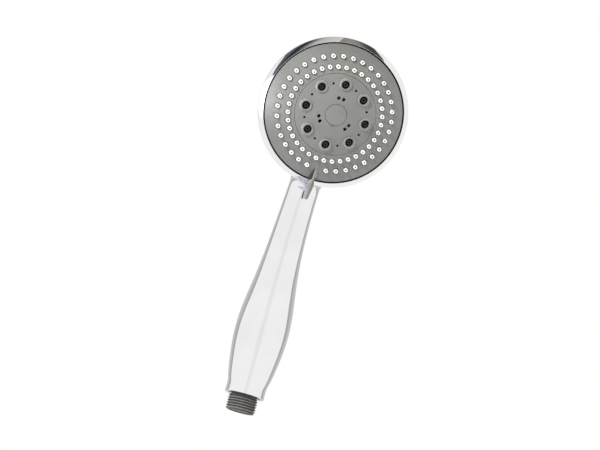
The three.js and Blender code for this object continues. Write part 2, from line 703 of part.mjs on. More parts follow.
const [portX, portY] = polar(PORT_R, PORT_ANGLE);
const [detentX, detentY] = polar(DETENT_CIRCLE_R, DETENT_ANGLE);
head.add(
  part('distribution_base', distributionBase(), 0xd8d8d2, 0.5),
  part('spigot_oring', spigotOring(), BLACK, 0.6),
  ...SCREW_ANGLES.map((angle, i) => part(`base_screw_${i + 1}`, baseScrew(angle), STEEL, 0.3, 1)),
  part('port_seal', portSeal(), BLACK, 0.7),
  part('port_seal_spring', spring(3.3, 0.3, 3, -13.2, -10.1).translate(portX, portY, 0), STEEL, 0.3, 1),
  part('detent_pin', detentPin(), 0xe8e4d4, 0.4),
  part('detent_spring', spring(1.9, 0.3, 5, -19.4, -12.8).translate(detentX, detentY, 0), STEEL, 0.3, 1),
  part('hub_oring', oRing(4.15, 0.5, -7.1, 14), BLACK, 0.6),
  part('diverter_plate', diverterPlate(), 0xd8d8d2, 0.5),
  part('channel_plate', channelPlate(), 0xcfcfc8, 0.5),
  part('swirl_ring', swirlRing(), 0xe8e4d4, 0.5),
  part('massage_turbine', massageTurbine(), 0x2f5f8a, 0.5),
  part('jet_insert', jetInsert(), BLACK, 0.5),
  part('nozzle_membrane', nozzleMembrane(), SILICONE, 0.6),
  part('face_plate', facePlate(), GREY, 0.38),
  part('center_plate', centerPlate(), GREY, 0.38),
  part('selector_lever', selectorLever(), GREY, 0.38),
  part('screw_washer', screwWasher(), STEEL, 0.3, 1),
  part('center_screw', centerScrew(), STEEL, 0.3, 1),
  part('center_cap', centerCap(), GREY, 0.38),
);

export default shower;
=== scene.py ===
"""Handheld shower head with a turning spray selector: its visual model, floor, light and camera."""
import json
import math

import bmesh
import bpy
import numpy as np
from mathutils import Matrix, Vector
from mathutils.geometry import delaunay_2d_cdt

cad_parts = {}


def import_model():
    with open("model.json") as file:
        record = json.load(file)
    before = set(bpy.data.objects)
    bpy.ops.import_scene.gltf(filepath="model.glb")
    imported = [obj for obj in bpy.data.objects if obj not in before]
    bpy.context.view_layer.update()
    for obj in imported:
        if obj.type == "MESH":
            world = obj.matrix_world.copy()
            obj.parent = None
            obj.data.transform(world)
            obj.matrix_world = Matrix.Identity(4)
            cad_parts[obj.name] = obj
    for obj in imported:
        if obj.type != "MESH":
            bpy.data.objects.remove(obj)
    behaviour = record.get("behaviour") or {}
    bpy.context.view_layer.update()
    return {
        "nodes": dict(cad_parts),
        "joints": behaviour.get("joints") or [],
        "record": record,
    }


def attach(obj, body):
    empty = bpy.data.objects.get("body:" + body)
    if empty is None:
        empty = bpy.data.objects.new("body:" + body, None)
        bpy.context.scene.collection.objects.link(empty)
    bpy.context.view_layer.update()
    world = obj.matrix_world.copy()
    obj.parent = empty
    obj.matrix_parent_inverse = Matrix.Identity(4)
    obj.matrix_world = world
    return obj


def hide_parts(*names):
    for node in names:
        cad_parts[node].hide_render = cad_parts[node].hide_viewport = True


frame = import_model()

# ---------- measures in millimetres ----------
# Measures that the CAD names too have its values. The exceptions are GRIP, whose outline is
# refined here, and TUBE_BORE_R, which the CAD makes 4.8 at the inlet.
# Heights in the head run along the face's axis, from the plane of the dome's edge.

MM = 0.001
SHARP_ANGLE = 35  # degrees; sharper edges are not shaded smooth

FACE_R = 47.9
DOME_R = 105
PLATE = 2.4
GAP = 0.3
FACE_SKIRT = 2.1
FACE_SKIRT_Z = -5

MOUTH_R = 48.8
RIM_R = 52.3
RIM_Z = -2.9
RIM_TOP = 0.4
RIM_LIP_R = 49.1
RIM_CROWN = (50.78, -0.83)  # the bevel bends a little here
RIM_SHOULDER = (52.3, -2.25)  # where the bevel would meet the widest circle
BACK_DEPTH = 31
BACK_POWER = 2.4
WALL = 2.4

GRIP = [  # half width, height
    [13.9, 14.5], [13.75, 18], [14.9, 24], [16.75, 34], [18.3, 46], [18.95, 58.5],
    [18.45, 70], [17.05, 82], [15.3, 95], [13.6, 111], [12.35, 129], [11.5, 148],
    [11.0, 166], [10.8, 185], [10.7, 200], [10.7, 215],
]
GRIP_END_Z = 214  # the handle's rounded end inside the head starts GRIP_END_LENGTH below this
GRIP_END_LENGTH = 18
GRIP_DEPTH = 0.92
GRIP_ROUND_Z = 20
GRIP_FLAT_Z = 58
GRIP_HOLLOW_Z = 192
NECK_BEND_Z = 95
NECK_BEND_LENGTH = 66
NECK_BEND = 10
NECK_FILLET = 9
NECK_FILLET_START = 120
NECK_FILLET_END = 209  # the fillet fades out below this height, over NECK_FILLET_FADE
NECK_FILLET_FADE = 16
NECK_HALF_WIDTH = 26
NECK_SIDE_FADE = 7
ON_AXIS = 20  # an inset of more than the half width puts a ring of the handle on its axis

SHELL_Z = 11.5
SHELL_BORE_R = 11.6
SHELL_FLOOR = 21
THREAD_MAJOR_R = 20.955 / 2
THREAD_MINOR_R = 18.631 / 2
THREAD_PITCH = 1.814
THREAD_LENGTH = 10.6
INLET_R = 7.4
INLET_DEPTH = 8.5
FLANGE_R = 11.2
FLANGE_TOP = 19.5
GROOVE_R = 9.3
GROOVE_BOTTOM = 14.2
GROOVE_TOP = 16.4
TUBE_R = 6.5
TUBE_BORE_R = 3.6
SPIGOT_R = 5
SOCKET_Z = -20.5
TUBE_TURNED_Y = -45  # from here the tube runs straight up the head
SPIGOT_Y = -35.5
SPIGOT_END_Y = -23.5

NOZZLES_AROUND = 36
OUTER_RING_R = 39.8
INNER_RING_R = 32.6
LEVER_ANGLE = 270  # the outer ring has no nozzle here
NOZZLE_RISE = 2.5
MEMBRANE = 1.1
MEMBRANE_INNER_R = 30.2
MEMBRANE_OUTER_R = 45.2

CENTER_R = 28.05
CENTER_WALL = 1.6
CENTER_LIP_R = 29.8
CENTER_LIP_TOP = 4.4
CENTER_LIP_BOTTOM = 3.1
CENTER_FLAT_R = 8  # the plate's underside is flat within this radius
CAP_R = 7.3
CAP_THICKNESS = 1.6
CAP_BORE_R = 5
JETS = 8
JET_CIRCLE_R = 21.45
PAIRS = 3
PAIR_CIRCLE_R = 11.7
PAIR_SPACING = 3.6
INSERT_INNER_R = 18.7
INSERT_OUTER_R = 24.6
INSERT_BOTTOM = 3.2
INSERT_TOP = 4.2

turn = next(joint for joint in frame["joints"] if joint["name"] == "selector_turn")
FACE_NORMAL = Vector(turn["axis"]).normalized()
ACROSS = Vector((1, 0, 0))
HEAD_AXES = Matrix((ACROSS, FACE_NORMAL.cross(ACROSS), FACE_NORMAL)).transposed()
HEAD = Matrix.Translation(turn["pos_m"]) @ HEAD_AXES.to_4x4() @ Matrix.Scale(MM, 4)
HANDLE = Matrix.Scale(MM, 4)
AXES = np.array(HEAD_AXES)
CENTER = np.array(turn["pos_m"]) / MM


# ---------- mesh tools ----------

def added(name, data):
    """A new object in the scene."""
    made = bpy.data.objects.new(name, data)
    bpy.context.scene.collection.objects.link(made)
    return made


class Shape:
    """Points and faces in millimetres, gathered before they become a mesh."""

    def __init__(self):
        self.points = []
        self.faces = []

    def row(self, points):
        """Adds points and returns their numbers."""
        start = len(self.points)
        self.points.extend(np.asarray(points, float).tolist())
        return np.arange(start, len(self.points))

    def ring(self, points, height):
        """Adds points of a plane at a height, or each at its own."""
        return self.row(np.column_stack([points, np.broadcast_to(height, len(points))]))

    def band(self, first, second):
        """Joins two closed rows of equal length with quads."""
        ahead, beside = np.roll(first, -1), np.roll(second, -1)
        self.faces.extend(np.column_stack([first, ahead, beside, second]).tolist())

    def skin(self, rows):
        for first, second in zip(rows, rows[1:]):
            self.band(first, second)

    def caps(self, rows):
        """Closes the ends of a skin."""
        self.faces.extend([rows[0].tolist(), rows[-1].tolist()])

    def mesh(self, name, place=HANDLE, sharp=SHARP_ANGLE):
        """One closed mesh object in metres, smooth except at edges sharper than an angle."""
        data = bpy.data.meshes.new(name)
        data.from_pydata(self.points, [], self.faces)
        work = bmesh.new()
        work.from_mesh(data)
        bmesh.ops.remove_doubles(work, verts=work.verts, dist=1e-4)
        bmesh.ops.recalc_face_normals(work, faces=work.faces)
        work.to_mesh(data)
        work.free()
        data.transform(place)
        data.shade_smooth()
        data.set_sharp_from_angle(angle=math.radians(sharp))
        return added(name, data)


def angles(count):
    """Evenly spaced angles round a circle, in radians."""
    return np.arange(count) * 2 * math.pi / count


def circle(radius, count, center=(0, 0)):
    x, y = center
    angle = angles(count)
    return np.column_stack([x + radius * np.cos(angle), y + radius * np.sin(angle)])


def polar(radius, degrees):
    angle = math.radians(degrees)
    return np.array([radius * math.cos(angle), radius * math.sin(angle)])


def rounded(corners, steps=4):
    """A line through (r, z, rounding radius) corners, with the corners rounded."""
    line = []
    for i, (r, z, radius) in enumerate(corners):
        here = np.array([r, z], float)
        if radius == 0 or i in (0, len(corners) - 1):
            line.append(here)
            continue
        before, after = (np.array(corners[j][:2]) - here for j in (i - 1, i + 1))
        back, on = np.linalg.norm(before), np.linalg.norm(after)
        u, v = before / back, after / on
        half = math.acos(np.clip(u @ v, -1, 1)) / 2
        reach = min(radius / math.tan(half), 0.49 * back, 0.49 * on)
        radius = reach * math.tan(half)
        middle = here + (u + v) / np.linalg.norm(u + v) * radius / math.sin(half)
        for t in np.linspace(0, 1, steps + 1):
            spoke = (here + u * reach - middle) * (1 - t) + (here + v * reach - middle) * t
            line.append(middle + spoke / np.linalg.norm(spoke) * radius)
    return np.array(line)


def lathe(name, profile, segments, place=HANDLE, ring=False):
    """Solid of revolution. A ring's profile is closed; any other starts and ends on the axis."""
    shape = Shape()
    rows = [shape.ring(circle(r, segments), z) for r, z in profile]
    shape.skin(rows + rows[:1] if ring else rows)
    return shape.mesh(name, place)


def within(loop, points):
    """Which points lie inside a loop that every ray from its middle crosses once."""
    middle = loop.mean(0)
    spokes = loop - middle
    order = np.argsort(np.arctan2(spokes[:, 1], spokes[:, 0]))
    spokes = spokes[order]
    away = points - middle
    reach = np.interp(
        np.arctan2(away[:, 1], away[:, 0]), np.arctan2(spokes[:, 1], spokes[:, 0]),
        np.hypot(*spokes.T), period=2 * math.pi)
    return np.hypot(*away.T) < reach * 0.999


def sheet(shape, height, outline, voids, spacing):
    """Fills an outline, less its voids, with even triangles; returns each loop's numbers."""
    loops = [outline, *voids]
    reach = np.abs(outline).max()
    rows = np.arange(-reach, reach, spacing * 0.87)
    lattice = np.array([
        (x + (i % 2) * spacing / 2, y)
        for i, y in enumerate(rows) for x in np.arange(-reach, reach, spacing)])
    border = np.vstack(loops)
    lattice = lattice[within(outline, lattice)]
    for void in voids:
        lattice = lattice[~within(void, lattice)]
    gap = np.array([np.hypot(*(border - point).T).min() for point in lattice])
    lattice = lattice[gap > 0.6 * spacing]
    points = np.vstack([border, lattice])
    edges, start = [], 0
    for loop in loops:
        numbers = np.arange(start, start + len(loop))
        edges.extend(zip(numbers.tolist(), np.roll(numbers, -1).tolist()))
        start += len(loop)
    _, _, faces, origin, _, _ = delaunay_2d_cdt([Vector(p) for p in points], edges, [], 0, 1e-7)
    triangles = np.array([[origin[i][0] for i in face] for face in faces])
    centers = points[triangles].mean(1)
    keep = within(outline, centers)
    for void in voids:
        keep &= ~within(void, centers)
    first = shape.ring(points, height(*points.T))[0]
    shape.faces.extend((triangles[keep] + first).tolist())
    found, start = [], first
    for loop in loops:
        found.append(np.arange(start, start + len(loop)))
        start += len(loop)
    return found


def pierced(name, outer, inner, holes, top, bottom, spacing, segments=144, bite=None):
    """Plate between two edge profiles, pierced by holes, as one closed mesh in the head's frame.

    A hole is its centre, its number of sides and its rings. A ring is its radius, its height over
    the top surface, and the share of that surface's height taken at the hole's centre.
    bite adds to the inner edge's radius by angle.
    """
    shape = Shape()
    edges = [
        [circle(1, segments) * np.broadcast_to(r + extra, segments)[:, None] for r, _ in profile]
        for profile, extra in ((outer, 0), (inner, bite(angles(segments)) if bite else 0))]
    ends = []
    for which, height in ((0, top), (-1, bottom)):
        voids = [circle(rings[which][0], sides, center) for center, sides, rings in holes]
        loops = [rows[which] for rows in edges] + voids
        ends.append(sheet(shape, height, loops[0], loops[1:], spacing))
    for i, (rows, profile) in enumerate(zip(edges, (outer, inner))):
        middle = [shape.ring(points, z) for points, (_, z) in zip(rows[1:-1], profile[1:-1])]
        shape.skin([ends[0][i], *middle, ends[1][i]])
    for i, (center, sides, rings) in enumerate(holes, len(edges)):
        middle = []
        for radius, rise, level in rings[1:-1]:
            points = circle(radius, sides, center)
            base = (1 - level) * top(*points.T) + level * top(*np.array(center)[:, None])
            middle.append(shape.ring(points, base + rise))
        shape.skin([ends[0][i], *middle, ends[1][i]])
    return shape.mesh(name, HEAD)


def dome(x, y):
    """Height of the spray face over its edge plane."""
    edge = math.sqrt(DOME_R ** 2 - FACE_R ** 2)
    return np.sqrt(DOME_R ** 2 - np.square(x) - np.square(y)) - edge


def surface(radius):
    return float(dome(radius, 0))


def under(drop):
    return lambda x, y: dome(x, y) - drop


def around(count, start):
    return [start + i * 360 / count for i in range(count)]


# ---------- chrome shell ----------

def spline(stations):
    """Natural cubic through (value, place) stations, as a function of place."""
    value, place = np.array(stations, float).T
    step = np.diff(place)
    slope = np.diff(value) / step
    count = len(place)
    system, known = np.eye(count), np.zeros(count)
    for i in range(1, count - 1):
        system[i, i - 1:i + 2] = step[i - 1], 2 * (step[i - 1] + step[i]), step[i]
        known[i] = 6 * (slope[i] - slope[i - 1])
    bend = np.linalg.solve(system, known)

    def at(z):
        i = np.clip(np.searchsorted(place, z) - 1, 0, count - 2)
        a, b = (place[i + 1] - z) / step[i], (z - place[i]) / step[i]
        curve = ((a ** 3 - a) * bend[i] + (b ** 3 - b) * bend[i + 1]) * step[i] ** 2 / 6
        return a * value[i] + b * value[i + 1] + curve

    return at


grip_spline = spline(GRIP)


def grip_width(z):
    end = np.clip((z - GRIP_END_Z + GRIP_END_LENGTH) / GRIP_END_LENGTH, 0, 0.995)
    return grip_spline(np.clip(z, GRIP[0][1], GRIP[-1][1])) * np.sqrt(1 - end ** 2)


def neck_offset(z):
    return -NECK_BEND * (np.maximum(0, z - NECK_BEND_Z) / NECK_BEND_LENGTH) ** 2


def depth_ratio(z):
    t = np.clip((z - GRIP_ROUND_Z) / (GRIP_FLAT_Z - GRIP_ROUND_Z), 0, 1)
    return 1 - (1 - GRIP_DEPTH) * t * t * (3 - 2 * t)


def in_head(points):
    return (points - CENTER) @ AXES


def grip_level(points):
    x, y, z = points.T
    return np.hypot(x, (y - neck_offset(z)) / depth_ratio(z)) / grip_width(z) - 1


def back_level(points):
    x, y, z = in_head(points).T
    out, down = np.hypot(x, y) / RIM_R, np.maximum(RIM_Z - z, 0) / BACK_DEPTH
    return (out ** BACK_POWER + down ** BACK_POWER) ** (1 / BACK_POWER) - 1


def gradient(field, points, step=0.02):
    return np.column_stack([
        (field(points + offset) - field(points - offset)) / (2 * step)
        for offset in np.eye(3) * step])


def distance(level, points):
    """Distance to a level's zero surface, good near it."""
    return level(points) / np.maximum(np.linalg.norm(gradient(level, points), axis=1), 1e-6)


def shell_distance(points):
    """Distance to the handle and the back of the head, joined with a round fillet."""
    a, b = distance(grip_level, points), distance(back_level, points)
    a = np.where(np.abs(points[:, 0]) > NECK_HALF_WIDTH, 2 * NECK_FILLET, a)
    fade = np.clip((NECK_FILLET_END - points[:, 2]) / NECK_FILLET_FADE, 0, 1)
    fade = fade * np.clip((NECK_HALF_WIDTH - np.abs(points[:, 0])) / NECK_SIDE_FADE, 0, 1)
    fillet = NECK_FILLET * fade * fade * (3 - 2 * fade)
    short = np.hypot(np.maximum(fillet - a, 0), np.maximum(fillet - b, 0))
    return np.maximum(fillet, np.minimum(a, b)) - short


def back_profile(radius, depth, steps):
    """Superellipse from the widest circle to the axis behind the head."""
    angle = np.linspace(0, math.pi / 2, steps + 1)
    power = 2 / BACK_POWER
    return [
        (radius * max(math.cos(a), 0) ** power, RIM_Z - depth * math.sin(a) ** power)
        for a in angle]


def grip_mesh(name, inset, heights, segments):
    """The handle as rings along its bent axis, each (height, its own inset)."""
    shape = Shape()
    rows = []
    for z, inward in heights:
        x, y = circle(max(grip_width(z) - inset - inward, 0), segments).T
        rows.append(shape.ring(np.column_stack([x, y * depth_ratio(z) + neck_offset(z)]), z))
    shape.skin(rows)
    return shape.mesh(name, HANDLE)


def combine(target, other, operation):
    """Boolean of two closed meshes; the second is used up."""
    tool = target.modifiers.new(operation, "BOOLEAN")
    tool.operation = operation
    tool.solver = "MANIFOLD"
    tool.object = other
    graph = bpy.context.evaluated_depsgraph_get()
    result = bpy.data.meshes.new_from_object(target.evaluated_get(graph))
    target.modifiers.clear()
    target.data = result
    bpy.data.objects.remove(other)
    return target


def round_neck(outside):
    """Moves the points near the joint of handle and head onto the filleted surface."""
    points = np.array([v.co for v in outside.data.vertices]) / MM
    near = distance(grip_level, points) < NECK_FILLET + 1
    near &= in_head(points)[:, 2] < RIM_Z - 1
    near &= (points[:, 2] > NECK_FILLET_START) & (points[:, 2] < GRIP_END_Z)
    near &= np.abs(points[:, 0]) < NECK_HALF_WIDTH
    moved = points[near]
    for _ in range(6):
        slope = gradient(shell_distance, moved)
        moved = moved - slope * (shell_distance(moved) / np.square(slope).sum(1))[:, None]
    points[near] = moved
    outside.data.vertices.foreach_set("co", (points * MM).ravel())


def shell_outside():
    front = rounded([
        (0, RIM_TOP, 0), (RIM_LIP_R, RIM_TOP, 0.15), (*RIM_CROWN, 26), (*RIM_SHOULDER, 0.5),
        (RIM_R, RIM_Z, 0)], 8)
    head = lathe("head_back", [*front, *back_profile(RIM_R, BACK_DEPTH, 56)[1:]], 192, HEAD)
    foot = rounded([
        (ON_AXIS, SHELL_Z, 0), (0.1, SHELL_Z, 0.12), (0, SHELL_Z + 0.5, 0.3), (0.1, 15, 0)], 4)
    heights = [(z, inward) for inward, z in foot]
    heights += [(z, 0) for z in np.arange(15.8, GRIP_END_Z, 1)] + [(GRIP_END_Z - 0.5, ON_AXIS)]
    outside = combine(head, grip_mesh("handle", 0, heights, 128), "UNION")
    round_neck(outside)
    return outside


def shell_hollow():
    """The inside of the head and handle, without the CAD's screw bosses, and the foot's bore."""
    mouth = rounded([
        (0, RIM_TOP + 2, 0), (MOUTH_R + 0.2, RIM_TOP + 2, 0), (MOUTH_R + 0.2, RIM_TOP, 0),
        (MOUTH_R, RIM_TOP - 0.3, 0.2), (MOUTH_R, RIM_Z, 0)])
    back = back_profile(MOUTH_R, BACK_DEPTH - WALL, 20)[1:]
    hollow = lathe("head_hollow", [*mouth, *back], 96, HEAD)
    start = SHELL_FLOOR - 2
    heights = [(start, ON_AXIS), *[(z, 0) for z in np.arange(start, GRIP_HOLLOW_Z, 6)]]
    heights += [(GRIP_HOLLOW_Z - 1, ON_AXIS)]
    hollow = combine(hollow, grip_mesh("handle_hollow", WALL, heights, 48), "UNION")
    bore = rounded([
        (0, SHELL_Z - 1, 0), (SHELL_BORE_R + 0.5, SHELL_Z - 1, 0),
        (SHELL_BORE_R + 0.4, SHELL_Z, 0), (SHELL_BORE_R, SHELL_Z + 0.5, 0.2),
        (SHELL_BORE_R, SHELL_FLOOR, 0), (0, SHELL_FLOOR, 0)])
    return combine(hollow, lathe("foot_bore", bore, 96), "UNION")


def body_shell():
    shell = combine(shell_outside(), shell_hollow(), "DIFFERENCE")
    shell.name = shell.data.name = "chrome_shell"
    smooth_outside(shell)
    return shell


def smooth_outside(shell):
    """Gives the outer skin the exact normals of its surface, so reflections run clean over it."""
    data = shell.data
    data.shade_smooth()
    data.set_sharp_from_angle(angle=math.radians(SHARP_ANGLE))
    points = np.array([v.co for v in data.vertices]) / MM
    skin = np.abs(shell_distance(points)) < 0.03
    skin &= (points[:, 2] > 16) & (in_head(points)[:, 2] < RIM_Z - 0.5)
    normals = np.zeros_like(points)
    slope = gradient(shell_distance, points[skin])
    normals[skin] = slope / np.linalg.norm(slope, axis=1)[:, None]
    corner = np.zeros(len(data.loops), int)
    data.loops.foreach_get("vertex_index", corner)
    wanted = normals[corner]
    flat = np.zeros(len(data.polygons) * 3)
    data.polygons.foreach_get("normal", flat)
    sizes = np.zeros(len(data.polygons), int)
    data.polygons.foreach_get("loop_total", sizes)
    facing = np.repeat(flat.reshape(-1, 3), sizes, axis=0)
    wanted[(facing * wanted).sum(1) < 0.5] = 0
    data.normals_split_custom_set(wanted.tolist())


# ---------- spray face ----------

def nozzle_places():
    outer = [angle for angle in around(NOZZLES_AROUND, 0) if angle != LEVER_ANGLE]
    inner = around(NOZZLES_AROUND, 180 / NOZZLES_AROUND)
    return [polar(OUTER_RING_R, angle) for angle in outer] + [
        polar(INNER_RING_R, angle) for angle in inner]


def face_plate():
    inner_r, skirt = CENTER_R + 0.2, FACE_R - FACE_SKIRT
    outer = rounded([
        (FACE_R - 0.6, surface(FACE_R - 0.6), 0), (FACE_R, surface(FACE_R), 0.2),
        (FACE_R, FACE_SKIRT_Z, 0.1), (skirt, FACE_SKIRT_Z, 0.1),
        (skirt, surface(skirt) - PLATE, 0)])
    inner = rounded([
        (inner_r + 0.5, surface(inner_r + 0.5), 0), (inner_r, surface(inner_r), 0.2),
        (inner_r, surface(inner_r) - PLATE, 0)])
    hole = [(2.25, 0, 0), (2.12, -0.03, 0), (2.06, -0.12, 0), (2.05, -0.3, 0), (2.05, 0, 0)]
    holes = [(place, 28, hole) for place in nozzle_places()]
    return pierced("spray_face", outer, inner, holes, dome, under(PLATE), 1.5)


def nozzle_membrane():
    drop = PLATE + GAP
    outer, inner = (
        [(r, surface(r) - drop), (r, surface(r) - drop - MEMBRANE)]
        for r in (MEMBRANE_OUTER_R, MEMBRANE_INNER_R))
    tip = NOZZLE_RISE + drop
    rings = [
        (2.1, 0, 0), (1.9, 0.15, 0.3), (1.75, 0.5, 1), (1.68, drop - 0.4, 1),
        (1.64, drop + 0.1, 1), (1.5, tip - 0.75, 1), (1.38, tip - 0.3, 1), (1.22, tip - 0.08, 1),
        (1.0, tip, 1), (0.82, tip - 0.05, 1), (0.62, tip - 0.22, 1), (0.52, tip - 0.6, 1),
        (0.5, tip - 1.6, 1), (0.5, 0, 0)]
    holes = [(place, 20, rings) for place in nozzle_places()]
    return pierced("soft_nozzles", outer, inner, holes, under(drop), under(drop + MEMBRANE), 2.4)


def center_plate():
    seat = surface(0) - CAP_THICKNESS - GAP
    wall = CENTER_R - CENTER_WALL
    outer = rounded([
        (CENTER_R - 0.5, surface(CENTER_R - 0.5), 0), (CENTER_R, surface(CENTER_R), 0.2),
        (CENTER_R, CENTER_LIP_TOP, 0.1), (CENTER_LIP_R, CENTER_LIP_TOP, 0.1),
        (CENTER_LIP_R, CENTER_LIP_BOTTOM, 0.1), (wall, CENTER_LIP_BOTTOM, 0.1),
        (wall, surface(wall) - PLATE, 0)])
    inner = rounded([
        (CAP_R + 0.6, surface(CAP_R + 0.6), 0), (CAP_R + GAP, surface(CAP_R + GAP), 0.15),
        (CAP_R + GAP, seat, 0), (CAP_BORE_R, seat, 0),
        (CAP_BORE_R, surface(CENTER_FLAT_R) - PLATE, 0)])
    collar = [
        (4.45, 0, 0), (4.25, 0.06, 0.2), (4.12, 0.28, 0.6), (4.08, 0.7, 1), (4.02, 1.3, 1),
        (3.92, 1.58, 1), (3.75, 1.76, 1), (3.55, 1.8, 1), (3.25, 1.76, 1), (3.02, 1.62, 1),
        (2.88, 1.35, 1), (2.84, 1.0, 1), (2.8, -0.8, 1), (2.8, 0, 0)]
    fine = [(1.0, 0, 0), (0.88, -0.06, 0), (0.85, -0.2, 0), (0.85, 0, 0)]
    pair = [(1.42, 0, 0), (1.29, -0.06, 0), (1.25, -0.2, 0), (1.25, 0, 0)]
    half = math.degrees(math.atan(PAIR_SPACING / 2 / PAIR_CIRCLE_R))
    holes = [(polar(JET_CIRCLE_R, angle), 32, collar) for angle in around(JETS, 0)]
    holes += [(polar(JET_CIRCLE_R, angle), 16, fine) for angle in around(JETS, 180 / JETS)]
    holes += [
        (polar(PAIR_CIRCLE_R, angle + side), 20, pair)
        for angle in around(PAIRS, 90) for side in (-half, half)]
    # a small pry notch beside the cap, towards the lever
    notch = lambda angle: 0.55 * np.exp(-((angle - 1.5 * math.pi) * CAP_R / 0.6) ** 4)
    lower = lambda x, y: dome(np.maximum(np.hypot(x, y), CENTER_FLAT_R), 0) - PLATE
    return pierced("middle_face", outer, inner, holes, dome, lower, 1.2, bite=notch)


def jet_insert():
    """Ring with a black spigot inside each collar of the middle plate."""
    reach = surface(JET_CIRCLE_R) - 0.6 - INSERT_TOP
    spigot = [
        (2.1, 0, 0), (1.85, 0.12, 0), (1.72, 0.5, 0), (1.7, reach - 0.3, 0),
        (1.6, reach - 0.06, 0), (1.45, reach, 0), (0.9, reach, 0), (0.72, reach - 0.1, 0),
        (0.65, reach - 0.4, 0), (0.65, 0, 0)]
    holes = [(polar(JET_CIRCLE_R, angle), 24, spigot) for angle in around(JETS, 0)]
    outer, inner = (
        [(r, INSERT_TOP), (r, INSERT_BOTTOM)] for r in (INSERT_OUTER_R, INSERT_INNER_R))
    top, bottom = (
        lambda x, y, level=level: np.full(np.shape(x), level)
        for level in (INSERT_TOP, INSERT_BOTTOM))
    return pierced("jet_spigots", outer, inner, holes, top, bottom, 1.6, 96)


def center_cap():
    floor_z = surface(0) - CAP_THICKNESS
    edge = surface(CAP_R)
    profile = [(r, surface(r)) for r in (0, *np.linspace(0.8, CAP_R - 0.3, 8))]
    profile += rounded([
        (CAP_R - 0.25, edge + 0.01, 0), (CAP_R, edge, 0.22), (CAP_R, floor_z, 0.1),
        (0, floor_z, 0)]).tolist()
    return lathe("middle_cap", profile, 96, HEAD)


LEVER = [  # distance from the middle: height of crest, half width, sharpness, side wall, floor
    (37.4, surface(37.4) + 0.05, 0.3, 2.2, 0, surface(37.4) - 0.25),
    (39, 4.35, 1.2, 2.6, 0, surface(39) - 0.25),
    (41, 4.85, 2.3, 3.0, 0, surface(41) - 0.25),
    (43, 5.15, 3.2, 3.4, 0, surface(43) - 0.25),
    (45, 5.3, 3.9, 3.6, 0, surface(45) - 0.25),
    (46.5, 5.35, 4.2, 3.6, 0, surface(46.5) - 0.25),
    (47.6, 5.35, 4.3, 3.6, 0, surface(47.6) - 0.25),
    (48.1, 5.35, 1.45, 1.3, 1.9, 1.25),
    (48.9, 5.34, 1.6, 1.1, 1.9, 1.15),
    (50, 5.32, 2.1, 1, 2.1, 1.0),
    (51.2, 5.28, 2.4, 1, 2.2, 0.85),
    (53, 5.1, 2.45, 1, 2.2, 0.45),
    (56, 4.65, 2.25, 1, 2.0, -0.2),
    (59, 4.0, 2.0, 1, 1.8, -0.75),
    (61.4, 3.35, 1.8, 1, 1.6, -0.8),
    (62.3, 2.95, 1.6, 1, 1.3, -0.6),
    (62.7, 2.5, 1.2, 1, 0.8, -0.1),
]
LEVER_ACROSS = 25  # points over the lever
LEVER_ROUNDING = 0.02


def selector_lever():
    """Fin that flares out of the disc, passes over the rim and ends in a finger tab."""
    places, *measures = np.array(LEVER).T
    fine = np.unique(np.concatenate([np.linspace(a, b, 5) for a, b in zip(places, places[1:])]))
    shape = Shape()
    rows = []
    for r in fine:
        top, half, sharp, side, low = (np.interp(r, places, values) for values in measures)
        across = np.sin(np.linspace(-1, 1, LEVER_ACROSS) * math.pi / 2) * half
        share = np.square(across / half)
        slant = np.sqrt(share + LEVER_ROUNDING * (1 - share))
        shoulder = min(low + side, top)
        rise = (1 - slant) ** sharp / (1 - math.sqrt(LEVER_ROUNDING)) ** sharp
        out = np.full(LEVER_ACROSS, -r)
        upper = np.column_stack([across, out, shoulder + (top - shoulder) * rise])
        lower = np.column_stack([across[::-1] * 0.9, out, low - 0.12 * (1 - share)])
        rows.append(shape.row(np.vstack([upper, lower])))
    shape.skin(rows)
    shape.caps(rows)
    return shape.mesh("selector_fin", HEAD, 50)


# ---------- waterway ----------

def thread_radius(angle, z):
    """G1/2 thread: rounded crests and roots on a helix that runs out at both ends."""
    turn_share = (z / THREAD_PITCH - angle / (2 * math.pi)) % 1
    wave = np.abs(turn_share * 2 - 1)
    crest = np.clip(1.45 * wave - 0.225, 0, 1)
    crest = crest * crest * (3 - 2 * crest) * 0.35 + crest * 0.65
    fade = np.clip(np.minimum((z + 0.35) / 1.3, (THREAD_LENGTH + 0.2 - z) / 0.9), 0, 1)
    return THREAD_MINOR_R + (THREAD_MAJOR_R - THREAD_MINOR_R) * crest * fade


def smooth_line(points, count):
    """Catmull-Rom line through points, as evenly spaced points."""
    points = np.array(points, float)
    padded = np.vstack([2 * points[0] - points[1], points, 2 * points[-1] - points[-2]])
    line = []
    for i in range(len(points) - 1):
        a, b, c, d = padded[i:i + 4]
        for t in np.arange(0, 1, 0.05):
            square, cube = 2 * a - 5 * b + 4 * c - d, 3 * b - a - 3 * c + d
            line.append(0.5 * (2 * b + (c - a) * t + square * t * t + cube * t ** 3))
    line = np.array([*line, points[-1]])
    steps = np.linalg.norm(np.diff(line, axis=0), axis=1)
    walked = np.concatenate([[0], np.cumsum(steps)])
    wanted = np.linspace(0, walked[-1], count)
    return np.column_stack([np.interp(wanted, walked, axis) for axis in line.T])


def tube_rows(shape, line, radii, segments, side=(1, 0, 0)):
    """Rings across a line in the plane that side is square to, with a radius for each point."""
    ahead = np.gradient(line, axis=0)
    ahead /= np.linalg.norm(ahead, axis=1)[:, None]
    angle = angles(segments)
    rows = []
    for point, forward, radius in zip(line, ahead, radii):
        other = np.cross(forward, side)
        spokes = np.outer(np.cos(angle), side) + np.outer(np.sin(angle), other)
        rows.append(shape.row(point + radius * spokes))
    return rows


